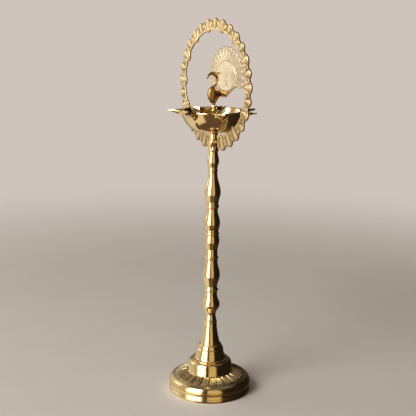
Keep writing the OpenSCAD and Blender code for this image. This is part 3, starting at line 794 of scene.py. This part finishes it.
def taper(stations):
    """Tapered rod along (forward, up, radius, width share), rounded at both ends."""
    spine = curve_through(stations, 6)
    for end, inner in ((0, 1), (-1, -2)):
        way = spine[end][:2] - spine[inner][:2]
        way = way / np.linalg.norm(way)
        radius, share = spine[end][2:]
        caps = [np.array([*(spine[end][:2] + way * radius * math.sin(a)), radius * math.cos(a), share])
                for a in np.radians((35, 60, 80))]
        spine = caps[::-1] + spine if end == 0 else spine + caps
    rings = []
    for k, (forward, up, radius, share) in enumerate(spine):
        way = spine[min(k + 1, len(spine) - 1)][:2] - spine[max(k - 1, 0)][:2]
        way = way / max(np.linalg.norm(way), 1e-9)
        rings.append([(radius * share * math.sin(a), -forward + way[1] * radius * math.cos(a),
                       belly_z + up + way[0] * radius * math.cos(a)) for a in turns])
    return skin_over(rings)


rump = float(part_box("tail_fan")[0][1]) / MM + 1.2
bird_skins = [
    level_loft([(-10.0, -2.3, 2.8, 2.4), (-8.0, -3.8, 5.6, 3.8), (-3.4, -5.8, 9.0, 5.6),
                (1.1, -9.0, 11.4, 6.3), (5.7, -10.5, 12.0, 6.5), (10.2, -10.0, 11.2, 6.1),
                (14.0, -5.6, 9.4, 5.1), (16.6, -4.6, 6.2, 4.0), (19.3, -4.9, 0.4, 2.5),
                (22.0, -5.7, -1.8, 1.9), (25.0, -6.7, -2.9, 1.8), (28.4, -7.4, -3.2, 1.9),
                (31.6, -7.4, -1.6, 2.5), (34.5, -7.0, 1.6, 3.0), (37.0, -5.6, 3.6, 3.0),
                (39.6, -2.6, 2.6, 1.5)]),
    length_loft([(4.0, -2.6, 10.0, 5.0), (0.0, -4.0, 13.0, 6.2), (-5.0, -3.2, 14.0, 6.5),
                 (-9.0, -0.6, 13.4, 6.2), (-13.0, 0.4, 12.2, 5.5), (-17.0, 0.2, 11.2, 4.6),
                 (-rump, -0.6, 10.4, 3.4)]),
    taper([(0.6, 37.0, 2.8, 0.9), (4.6, 37.9, 2.4, 0.85), (8.8, 36.3, 1.9, 0.85), (11.8, 33.4, 1.6, 0.85),
           (13.0, 30.5, 1.15, 0.85)]),
    taper([(2.0, 38.7, 1.5, 0.7), (-3.0, 38.4, 2.0, 0.6), (-8.0, 37.9, 1.6, 0.5), (-11.6, 37.7, 0.9, 0.6)]),
]
points, faces = [], []
for ring, skin in bird_skins:
    faces += [tuple(i + len(points) for i in face) for face in skin]
    points += ring
bird_casting = mesh_piece("bird_casting", points, faces)
for kind, settings in (("REMESH", {"mode": "VOXEL", "voxel_size": 0.36 * MM, "use_smooth_shade": True}),
                       ("SMOOTH", {"factor": 0.5, "iterations": 5})):
    modifier = bird_casting.modifiers.new(kind.lower(), kind)
    for key, value in settings.items():
        setattr(modifier, key, value)
ready = bird_casting.evaluated_get(bpy.context.evaluated_depsgraph_get())
body_mesh = bpy.data.meshes.new_from_object(ready)
bird_casting.modifiers.clear()
bird_casting.data = body_mesh

where = np.empty(len(body_mesh.vertices) * 3)
body_mesh.vertices.foreach_get("co", where)
where = where.reshape(-1, 3) / MM
facing = np.empty(len(body_mesh.vertices) * 3)
body_mesh.vertex_normals.foreach_get("vector", facing)
facing = facing.reshape(-1, 3)
back, up = where[:, 1], where[:, 2] - belly_z
wing = np.hypot((back - 3.5) / 8.6, (up - 6.6 + 0.10 * (back - 3.5)) / 5.4)
sideways = np.clip(abs(facing[:, 0]) * 1.6 - 0.3, 0, 1)
raised = 0.40 * np.exp(-((wing - 0.9) / 0.16) ** 2) - 0.05 * np.exp(-(wing / 0.7) ** 4)
quills = 0.03 * np.cos((up + 0.35 * back) * 2.6) * np.clip((0.8 - wing) * 5, 0, 1)
on_neck = (up > 11) & (up < 33) & (back < 9)
neck_scales = 0.05 * np.cos(up * 3.3) * np.cos((where[:, 0] + back) * 2.6) * on_neck
eye = 0.5 * np.exp(-(((back + 0.6) / 0.7) ** 2 + ((up - 37.2) / 0.7) ** 2))
lift = (raised + quills) * sideways + neck_scales + eye * sideways
where += facing * lift[:, None]
body_mesh.vertices.foreach_set("co", (where * MM).ravel())
# Tone for the finish: raised places lighter, and the wing's middle painted darker as shade.
relief = np.clip(0.56 + lift * 0.8 - 0.4 * np.exp(-(wing / 0.5) ** 2) * sideways, 0, 1)
body_mesh.attributes.new("relief", "FLOAT", "POINT").data.foreach_set("value", relief)
body_mesh.update()


def filed_brass(name, bright, brown):
    """Small hand-finished casting: polished on the high places, brown lacquer and painted shade together in
    the hollows.
    """
    material, graph = new_material(name)
    place = graph.node("ShaderNodeTexCoord", {}, {}, "Object")
    height = graph.node("ShaderNodeAttribute", {"attribute_name": "relief"}, {}, "Fac")
    clouds = graph.noise(place, 120.0, 4.0, 0.6)
    files = graph.noise(graph.scaled(place, (700.0, 2400.0, 500.0)), 1.0, 3.0, 0.6)
    # Bright on the high places, brown in the low ones: the brown is lacquer and painted shade together.
    polish_and_hollow_shade = (height + (clouds - 0.5) * 0.5).above(0.46, 0.28)
    tone = graph.blend(polish_and_hollow_shade, brown, bright)
    roughness = 0.42 - polish_and_hollow_shade * 0.14 + files * 0.08
    bumps = [(clouds, 0.25, 0.0006), (files, 0.12, 0.0001)]
    return finish_surface(material, graph, tone, roughness, bumps, Metallic=1.0)


# The brown is lacquer and painted shade together, darkest in the wing's middle.
bird_brass = filed_brass("bird_brass", (0.42, 0.26, 0.115), (0.14, 0.08, 0.035))
bird_casting.data.materials.clear()
bird_casting.data.materials.append(bird_brass)
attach(bird_casting, "finial")
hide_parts("peacock")

# ---------------------------------------------------------------- tail fan
# A thin pale casting dished a little forwards: seventeen ribbed feathers round a plain shield,
# with a raised line between them and a hollow down the middle to the rump, where it is riveted.
fan_low, fan_high = (np.array(c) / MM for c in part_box("tail_fan"))
fan_r = 49.0
fan_hub = float(fan_high[2]) - fan_r
fan_front = float(fan_low[1])
feathers, fan_corner = 17, math.radians(11.5)
feather_step = (math.pi + 2 * fan_corner) / (feathers - 1)
shield_r = 28.0


def on_fan(x, y, lift):
    """From the fan's own plane to its place, with the dish that the casting has."""
    dished = 0.9 * (math.hypot(x, y) / fan_r) ** 2
    root = 2.6 * max(0.0, (-20 - y) / 11) ** 1.5
    return x, fan_front + 2.0 - dished - root - lift, fan_hub + y


def feather_motif():
    """One feather: a narrow wedge with a round tip, a raised quill and fine ribs beside it."""
    half, root, tip_low = math.tan(feather_step / 2) * 1.12, 25, fan_r - 5.5
    side = [(half * r, r) for r in np.linspace(root, tip_low, 12)]
    tip = [(half * tip_low * math.cos(a), tip_low + 5.4 * math.sin(a))
           for a in np.radians(np.linspace(12, 168, 17))]
    other_side = [(-x, y) for x, y in side[::-1]]
    outline = side + tip + other_side + [(x, root) for x in np.linspace(-half * root, half * root, 5)[1:-1]]

    def height(x, y, reach):
        share = x / max(half * min(y, tip_low), 1e-6)
        quill = math.exp(-(share / 0.16) ** 2)
        barbs = 0.5 + 0.5 * math.cos(share * 4 * math.pi)
        edge = 0.4 * math.exp(-((reach - 0.86) / 0.1) ** 2)
        ribs = 0.6 * quill * (1 - reach ** 8) + 0.16 * barbs * (1 - quill)
        return 0.3 + ribs + edge - 0.6 * reach ** 10

    return plaque("feather", outline, (0, 35), height, on_fan_local, rings=15, back=1.0)


def on_fan_local(x, y, lift):
    """A feather is modelled upright above the hub and turned to its place afterwards."""
    across, forward, up = on_fan(x, y, lift)
    return across, forward, up - fan_hub


# The dark colour is tarnish and painted shade round the feathers' edges and in the shield's hollow.
fan_brass = engraved_brass("fan_brass", (0.96, 0.85, 0.65), (0.36, 0.24, 0.11), 0.28, 0.26, 0.38, 0.6)
feather_fan = set_round("tail_feathers", feather_motif(), feathers, feather_step, -math.pi / 2 - fan_corner,
                        about_y, (0, 0, fan_hub * MM), fan_brass)


def shield_outline():
    """Plain middle of the fan: a round head that narrows to the rump."""
    round_top = arc(0, 0, shield_r, -30, 210, 60)
    wing_edge = [(-36, -9.5), (-39, -11.2), (-40, -13.0), (-38.6, -14.4), (-35, -14.6), (-27, -13.6),
                 (-18.5, -18.0), (-10, -25.2), (-4.2, -30.6), (0, -31.0)]
    lower = [np.array(p) for p in wing_edge]
    fifths = np.linspace(0, 1, 5, endpoint=False)
    left = [tuple(a + (b - a) * t) for a, b in zip(lower, lower[1:]) for t in fifths]
    return round_top + left + [(0, -31.0)] + [(-x, y) for x, y in left[::-1]]


def shield_height(x, y, reach):
    """Fine rays, a raised line along the round edge, and the hollow down the middle."""
    distance, turn = math.hypot(x, y + 26), math.atan2(x, y + 26)
    rays = 0.16 * math.cos(turn * 46) * min(1, distance / 20)
    line = 0.9 * math.exp(-((math.hypot(x, y) - shield_r + 1.2) / 0.8) ** 2) * min(1, max(0, (y + 16) / 8))
    hollow = -0.5 * math.exp(-(x / 5.0) ** 2) * min(1, max(0, (14 - y) / 26))
    return 1.0 + rays + line + hollow - 0.7 * reach ** 14


fan_shield = plaque("tail_shield", shield_outline(), (0, -4), shield_height, on_fan, rings=22, back=0.4)
fan_shield.data.materials.append(fan_brass)
for piece in (feather_fan, fan_shield):
    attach(piece, "finial")
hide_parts("tail_fan")

# ---------------------------------------------------------------- tail rivet
# A brass rivet that goes through the fan into the bird's rump, headed over at the back.
rivet_low, rivet_high = (np.array(c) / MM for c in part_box("tail_rivet"))
rivet_z = (rivet_low[2] + rivet_high[2]) / 2
shank_r, head_r, shank_h, head_h = 1.5, 3.0, 6.0, 1.0
dome = [(head_r * math.cos(a), shank_h + 0.2 + (head_h - 0.02) * math.sin(a))
        for a in np.radians(np.linspace(0, 90, 8))]
shank = [(0, 0), (shank_r, 0), (shank_r, shank_h), (head_r, shank_h)]
rivet_turn = lathe_piece("rivet", shank + dome, around=48, ease=0.1)
lay_flat = Matrix.Rotation(math.radians(-90), 4, "X")
rivet_turn.data.transform(Matrix.Translation((0, rivet_low[1] * MM, rivet_z * MM)) @ lay_flat)
rivet_turn.data.materials.append(foot_brass)
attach(rivet_turn, "finial")
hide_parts("tail_rivet")

# ---------------------------------------------------------------- studio
# A plain pale floor under a large soft window light from the left front, with a weak fill.
# The room is bright down its left side, warm in front and dark to the right, as the brass shows it.
camera_turn = math.radians(57.5)
camera_back, camera_up = 1.4286, 0.615
toward = np.array([math.sin(camera_turn), -math.cos(camera_turn), 0.0])
beside = np.array([math.cos(camera_turn), math.sin(camera_turn), 0.0])

floor_finish, graph = new_material("floor")
place = graph.node("ShaderNodeTexCoord", {}, {}, "Object")
mottle = graph.noise(place, 9.0, 5.0, 0.6)
floor_tone = graph.blend(mottle, (0.70, 0.67, 0.66), (0.76, 0.73, 0.72))
reach = graph.node("ShaderNodeVectorMath", {"operation": "LENGTH"}, {0: place}, "Value")
finish_surface(floor_finish, graph, floor_tone, 0.6 + mottle * 0.1, [(mottle, 0.05, 0.002)],
               Alpha=1.0 - reach.above(1.25, 0.6))
sheet = bmesh.new()
bmesh.ops.create_circle(sheet, cap_ends=True, segments=96, radius=2.0)
mesh = bpy.data.meshes.new("floor")
sheet.to_mesh(mesh)
sheet.free()
floor = bpy.data.objects.new("floor", mesh)
bpy.context.scene.collection.objects.link(floor)
floor.data.materials.append(floor_finish)
floor.visible_glossy = False

world = bpy.data.worlds.new("room")
world.use_nodes = True
world.node_tree.nodes.clear()
bpy.context.scene.world = world
graph = Graph(world.node_tree)
direction = graph.node("ShaderNodeTexCoord", {}, {}, "Generated")
dir_x, dir_y, dir_z = (graph.node("ShaderNodeSeparateXYZ", {}, {0: direction}, axis) for axis in "XYZ")
ahead = dir_x * float(toward[0]) + dir_y * float(toward[1])
right = dir_x * float(beside[0]) + dir_y * float(beside[1])
bearing = graph.node("ShaderNodeMath", {"operation": "ARCTAN2"}, {0: right, 1: ahead}) / (2 * math.pi) + 0.5
walls = graph.node("ShaderNodeValToRGB", {"stops": [
    (0.0, (0.10, 0.08, 0.06)), (0.05, (0.30, 0.26, 0.21)), (0.09, (0.66, 0.61, 0.53)),
    (0.22, (0.66, 0.59, 0.48)), (0.29, (0.46, 0.37, 0.24)), (0.315, (0.9, 0.86, 0.76)),
    (0.435, (0.9, 0.86, 0.76)), (0.445, (0.34, 0.25, 0.12)), (0.462, (0.02, 0.016, 0.01)),
    (0.478, (0.02, 0.016, 0.01)), (0.49, (0.62, 0.47, 0.24)), (0.58, (0.66, 0.48, 0.24)),
    (0.605, (0.018, 0.013, 0.009)), (0.90, (0.015, 0.011, 0.008)), (1.0, (0.10, 0.08, 0.06)),
]}, {"Fac": bearing})
window = bearing.above(0.315, 0.006) * (1.0 - bearing.above(0.435, 0.006)) * dir_z.above(-0.42, 0.06)
window = window * (1.0 - dir_z.above(0.74, 0.06))
walls = graph.node("ShaderNodeMix", {"data_type": "RGBA", "blend_type": "ADD"},
                   {0: window, 6: walls, 7: (1.5, 1.5, 1.42, 1)}, 2)
below = graph.node("ShaderNodeValToRGB", {"stops": [
    (0.0, (0.60, 0.52, 0.42)), (0.14, (0.80, 0.72, 0.56)), (0.37, (0.84, 0.74, 0.54)),
    (0.395, (0.16, 0.095, 0.055)), (0.48, (0.13, 0.075, 0.045)), (0.57, (0.18, 0.11, 0.06)),
    (0.60, (0.045, 0.03, 0.018)), (0.86, (0.03, 0.02, 0.013)), (0.95, (0.20, 0.15, 0.10)),
    (1.0, (0.60, 0.52, 0.42)),
]}, {"Fac": bearing})
room = graph.blend(dir_z.above(-0.46, 0.08), below, walls)
room = graph.blend(dir_z.above(-0.83, 0.03), (0.13, 0.075, 0.045), room)
room = graph.blend(dir_z.above(0.80, 0.10), room, (0.16, 0.13, 0.10))
straight = graph.node("ShaderNodeLightPath", {}, {}, "Is Camera Ray")
seen = graph.blend(straight, room, (0.62, 0.55, 0.50))
sky = graph.node("ShaderNodeBackground", {}, {"Color": seen, "Strength": 1.0})
graph.node("ShaderNodeOutputWorld", {}, {"Surface": sky})


def soft_light(name, bearing_deg, distance, height, size, power, colour):
    """A round softbox standing round the lamp, aimed at the middle of its height."""
    a = math.radians(bearing_deg)
    spot = (toward * math.cos(a) + beside * math.sin(a)) * distance + np.array([0, 0, height])
    data = bpy.data.lights.new(name, "AREA")
    data.shape, data.size, data.size_y = "ELLIPSE", size[0], size[1]
    data.energy, data.color = power, colour
    lamp = bpy.data.objects.new(name, data)
    bpy.context.scene.collection.objects.link(lamp)
    lamp.location = spot
    aim = Vector((0, 0, 0.32)) - Vector(spot)
    lamp.rotation_euler = aim.to_track_quat("-Z", "Y").to_euler()


soft_light("window", -46, 1.9, 1.5, (1.2, 1.1), 24, (1.0, 0.98, 0.95))
soft_light("side", -112, 1.5, 0.8, (0.9, 0.9), 1.5, (1.0, 0.97, 0.93))

frame_w, focal, off_centre = 416, 905, -4.3
dip, roll = math.radians(12.1), math.radians(0.9)
optics = bpy.data.cameras.new("camera")
optics.sensor_width = 36.0
optics.lens = focal / frame_w * optics.sensor_width
optics.shift_x = off_centre / frame_w
camera = bpy.data.objects.new("camera", optics)
bpy.context.scene.collection.objects.link(camera)
camera.location = toward * camera_back + np.array([0, 0, camera_up])
look = Vector(-toward * math.cos(dip) - np.array([0, 0, math.sin(dip)]))
aim = look.to_track_quat("-Z", "Y")
camera.rotation_mode = "QUATERNION"
camera.rotation_quaternion = aim @ Matrix.Rotation(roll, 3, "Z").to_quaternion()
bpy.context.scene.camera = camera
bpy.context.scene.view_settings.view_transform = "Standard"
